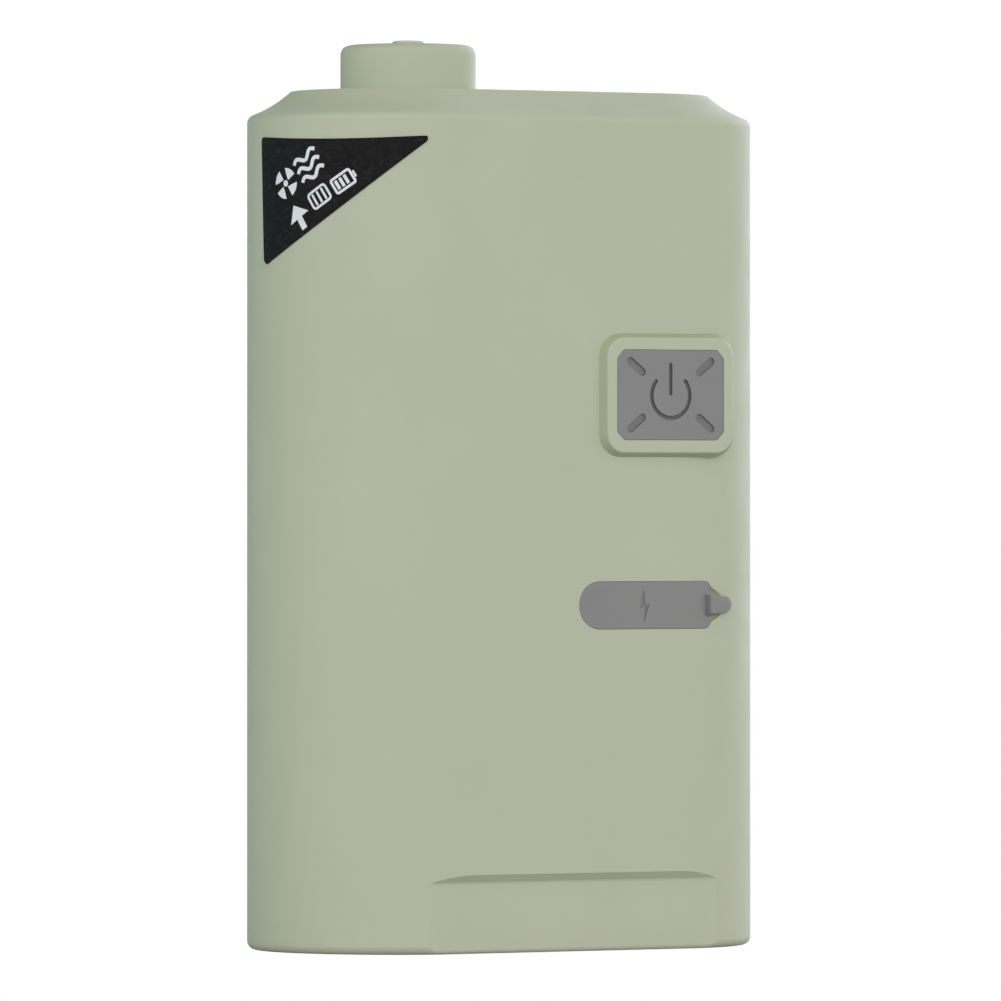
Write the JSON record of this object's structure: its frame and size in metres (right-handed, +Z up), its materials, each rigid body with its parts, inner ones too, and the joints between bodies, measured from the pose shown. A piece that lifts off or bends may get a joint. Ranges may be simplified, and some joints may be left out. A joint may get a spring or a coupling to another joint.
{
  "type": "electric air mattress pump",
  "caption": "Upright cordless air pump: obround casing, round outlet nozzle with a valve pin on top, suction collar in the base, push button, rubber port cover, fan and battery inside.",
  "frame": {"origin": "centre of the casing's plan on the flat face of its base", "axes": "+Z up, from the base to the nozzle; +X along the casing's long side, away from the nozzle; -Y out of the front, with the button and the port cover"},
  "size_m": [0.1022, 0.0585, 0.1717],
  "materials": {
    "sage_plastic": "fine satin texture",
    "grey_rubber": "matte",
    "pale_grey_plastic": "satin",
    "black_film": "satin printed film",
    "dark_plastic": "satin",
    "natural_plastic": "satin",
    "seal_rubber": "matte",
    "steel": "plain",
    "motor_steel": "plain",
    "nickel": "bright",
    "board_green": "solder mask",
    "cell_wrap": "shrink wrap",
    "led_clear": "clear",
    "red_wire": "insulation",
    "black_wire": "insulation"
  },
  "bodies": {
    "casing": {"main_housing": "sage_plastic", "base_plate": "sage_plastic", "suction_cup": "sage_plastic", "suction_collar": "sage_plastic", "suction_grille": "sage_plastic", "nozzle_collar": "sage_plastic", "valve_pin": "pale_grey_plastic", "corner_label": "black_film", "cover_anchor": "grey_rubber", "switch_body": "dark_plastic", "base_screw_1": "steel", "base_screw_2": "steel", "base_screw_3": "steel", "base_screw_4": "steel", "intake_gasket": "seal_rubber", "outlet_gasket": "seal_rubber", "intake_duct": "natural_plastic", "outlet_cone": "natural_plastic", "motor_can": "motor_steel", "motor_end_cap": "dark_plastic", "motor_terminal_positive": "nickel", "motor_terminal_negative": "nickel", "motor_bracket": "natural_plastic", "motor_screw_1": "steel", "motor_screw_2": "steel", "stator_vanes": "natural_plastic", "lead_grommet": "seal_rubber", "battery_cradle": "dark_plastic", "battery_cap": "dark_plastic", "battery_cell_1": "cell_wrap", "battery_cell_2": "cell_wrap", "battery_link": "nickel", "battery_tab_positive": "nickel", "battery_tab_negative": "nickel", "control_board": "board_green", "board_screw_1": "steel", "board_screw_2": "steel", "usb_receptacle": "steel", "usb_tongue": "dark_plastic", "level_led_1": "led_clear", "level_led_2": "led_clear", "level_led_3": "led_clear", "level_led_4": "led_clear", "controller_chip": "dark_plastic", "charge_chip": "dark_plastic", "power_transistor": "dark_plastic", "capacitor": "dark_plastic", "inductor": "seal_rubber", "motor_lead_positive": "red_wire", "motor_lead_negative": "black_wire", "battery_lead_positive": "red_wire", "battery_lead_negative": "black_wire"},
    "button": {"power_button": "grey_rubber", "switch_plunger": "pale_grey_plastic"},
    "port_cover_flap": {"port_cover": "grey_rubber"},
    "rotor": {"motor_shaft": "steel", "impeller": "dark_plastic"}
  },
  "joints": [
    {"name": "button_press", "type": "slide", "parent": "casing", "child": "button", "axis": [0, 1, 0], "range_m": [0, 0.0008], "stiffness_N_per_m": 1500, "springref_m": -0.0005},
    {"name": "port_cover_hinge", "type": "hinge", "parent": "casing", "child": "port_cover_flap", "pos_m": [0.0072, -0.0285, 0.065], "axis": [0, 0, -1], "range_deg": [0, 110], "stiffness_Nm_per_rad": 0.004},
    {"name": "fan_spin", "type": "hinge", "parent": "casing", "child": "rotor", "pos_m": [-0.0203, 0, 0.086], "axis": [0, 0, 1], "continuous": true}
  ]
}
